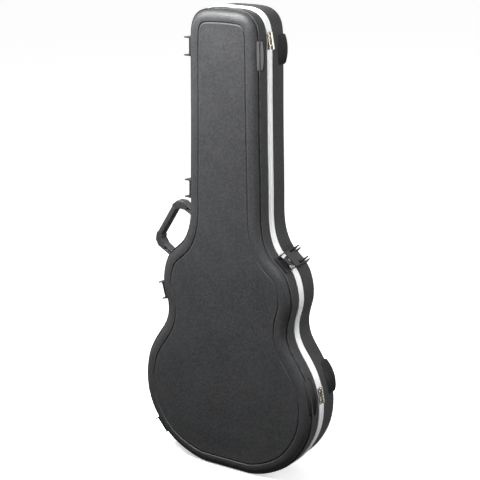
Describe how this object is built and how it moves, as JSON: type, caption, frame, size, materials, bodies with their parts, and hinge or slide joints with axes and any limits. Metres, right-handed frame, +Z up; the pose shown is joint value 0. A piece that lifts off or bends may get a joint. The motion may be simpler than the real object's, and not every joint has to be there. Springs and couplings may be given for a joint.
{
  "type": "guitar case",
  "caption": "Hard-shell guitar case: waisted moulded shells on metal rails, side-hinged lid, hook latches, folding handle, padded body-shaped inside.",
  "frame": {"origin": "middle of the flat end that the case stands on, at the parting plane between lid and base", "axes": "+Z up along the case's length, -Y out of the lid's face, +X towards the hinges, -X towards the handle"},
  "size_m": [0.4915, 0.124, 1.1141],
  "materials": {
    "moulded_black": "satin",
    "latch_black": "satin",
    "grip_rubber": "matte",
    "rail_metal": "satin",
    "nickel": "polished",
    "steel": "satin",
    "foam_white": "matte",
    "plush": "matte",
    "tab_webbing": "matte"
  },
  "bodies": {
    "base": {"base_shell": "moulded_black", "base_rail": "rail_metal", "foam_bed": "foam_white", "base_lining": "plush", "neck_rest": "plush", "base_bumpers": "moulded_black", "base_hinge_leaves": "nickel", "hinge_pins": "nickel", "base_hinge_rivets": "nickel", "handle_brackets": "moulded_black", "handle_pins": "steel", "handle_rivets": "steel", "bracket_neck_top": "latch_black", "bracket_neck_low": "latch_black", "bracket_waist": "latch_black", "bracket_bottom": "latch_black", "bracket_shoulder": "latch_black", "bracket_rivets": "steel", "hasp_pins": "steel"},
    "hasp_neck_top": {"hasp_neck_top": "latch_black", "trigger_pin_neck_top": "steel", "spring_neck_top": "steel"},
    "trigger_neck_top": {"trigger_neck_top": "latch_black"},
    "hasp_neck_low": {"hasp_neck_low": "latch_black", "trigger_pin_neck_low": "steel", "spring_neck_low": "steel"},
    "trigger_neck_low": {"trigger_neck_low": "latch_black"},
    "hasp_waist": {"hasp_waist": "latch_black", "trigger_pin_waist": "steel", "spring_waist": "steel"},
    "trigger_waist": {"trigger_waist": "latch_black"},
    "hasp_bottom": {"hasp_bottom": "latch_black", "trigger_pin_bottom": "steel", "spring_bottom": "steel"},
    "trigger_bottom": {"trigger_bottom": "latch_black"},
    "hasp_shoulder": {"hasp_shoulder": "latch_black", "trigger_pin_shoulder": "steel", "spring_shoulder": "steel"},
    "trigger_shoulder": {"trigger_shoulder": "latch_black"},
    "handle": {"handle_core": "moulded_black", "handle_grip": "grip_rubber"},
    "accessory_lid": {"accessory_lid": "plush", "accessory_tab": "tab_webbing"},
    "lid": {"lid_shell": "moulded_black", "lid_rail": "rail_metal", "lid_foam": "foam_white", "lid_lining": "plush", "lid_bumpers": "moulded_black", "lid_hinge_leaves": "nickel", "lid_hinge_rivets": "nickel", "keeper_neck_top": "latch_black", "keeper_neck_low": "latch_black", "keeper_waist": "latch_black", "keeper_bottom": "latch_black", "keeper_shoulder": "latch_black", "keeper_rivets": "steel"}
  },
  "joints": [
    {"name": "lid_swing", "type": "hinge", "parent": "base", "child": "lid", "pos_m": [0.23713, 0, 0.23228], "axis": [-0.1688, 0, 0.9856], "range_deg": [0, 105]},
    {"name": "hasp_neck_top_swing", "type": "hinge", "parent": "base", "child": "hasp_neck_top", "pos_m": [-0.09998, 0.04, 1.02031], "axis": [-0.0171, 0, -0.9999], "range_deg": [-2.5, 110]},
    {"name": "trigger_neck_top_pull", "type": "hinge", "parent": "hasp_neck_top", "child": "trigger_neck_top", "pos_m": [-0.10304, -0.01192, 1.02036], "axis": [-0.0171, 0, -0.9999], "range_deg": [0, 15], "stiffness_Nm_per_rad": 0.1},
    {"name": "hasp_neck_low_swing", "type": "hinge", "parent": "base", "child": "hasp_neck_low", "pos_m": [-0.10513, 0.04, 0.68769], "axis": [-0.0124, 0, -0.9999], "range_deg": [-2.5, 110]},
    {"name": "trigger_neck_low_pull", "type": "hinge", "parent": "hasp_neck_low", "child": "trigger_neck_low", "pos_m": [-0.10819, -0.01192, 0.68773], "axis": [-0.0124, 0, -0.9999], "range_deg": [0, 15], "stiffness_Nm_per_rad": 0.1},
    {"name": "hasp_waist_swing", "type": "hinge", "parent": "base", "child": "hasp_waist", "pos_m": [-0.18471, 0.04, 0.42259], "axis": [0.2517, 0, -0.9678], "range_deg": [-2.5, 110]},
    {"name": "trigger_waist_pull", "type": "hinge", "parent": "hasp_waist", "child": "trigger_waist", "pos_m": [-0.18768, -0.01192, 0.42182], "axis": [0.2517, 0, -0.9678], "range_deg": [0, 15], "stiffness_Nm_per_rad": 0.1},
    {"name": "hasp_bottom_swing", "type": "hinge", "parent": "base", "child": "hasp_bottom", "pos_m": [-0.19737, 0.04, 0.0636], "axis": [0.6252, 0, -0.7805], "range_deg": [-2.5, 110]},
    {"name": "trigger_bottom_pull", "type": "hinge", "parent": "hasp_bottom", "child": "trigger_bottom", "pos_m": [-0.19977, -0.01192, 0.06168], "axis": [0.6252, 0, -0.7805], "range_deg": [0, 15], "stiffness_Nm_per_rad": 0.1},
    {"name": "hasp_shoulder_swing", "type": "hinge", "parent": "base", "child": "hasp_shoulder", "pos_m": [0.15005, 0.04, 0.54516], "axis": [-0.7502, 0, 0.6612], "range_deg": [-3.5, 110]},
    {"name": "trigger_shoulder_pull", "type": "hinge", "parent": "hasp_shoulder", "child": "trigger_shoulder", "pos_m": [0.15268, -0.01185, 0.54814], "axis": [-0.7502, 0, 0.6612], "range_deg": [0, 15], "stiffness_Nm_per_rad": 0.1},
    {"name": "handle_swing", "type": "hinge", "parent": "base", "child": "handle", "pos_m": [-0.1546, 0.034, 0.54343], "axis": [-0.527, 0, -0.8499], "range_deg": [-70, 70]},
    {"name": "accessory_lid_swing", "type": "hinge", "parent": "base", "child": "accessory_lid", "pos_m": [0, 0.0237, 0.76], "axis": [-1, 0, 0], "range_deg": [0, 70]}
  ]
}
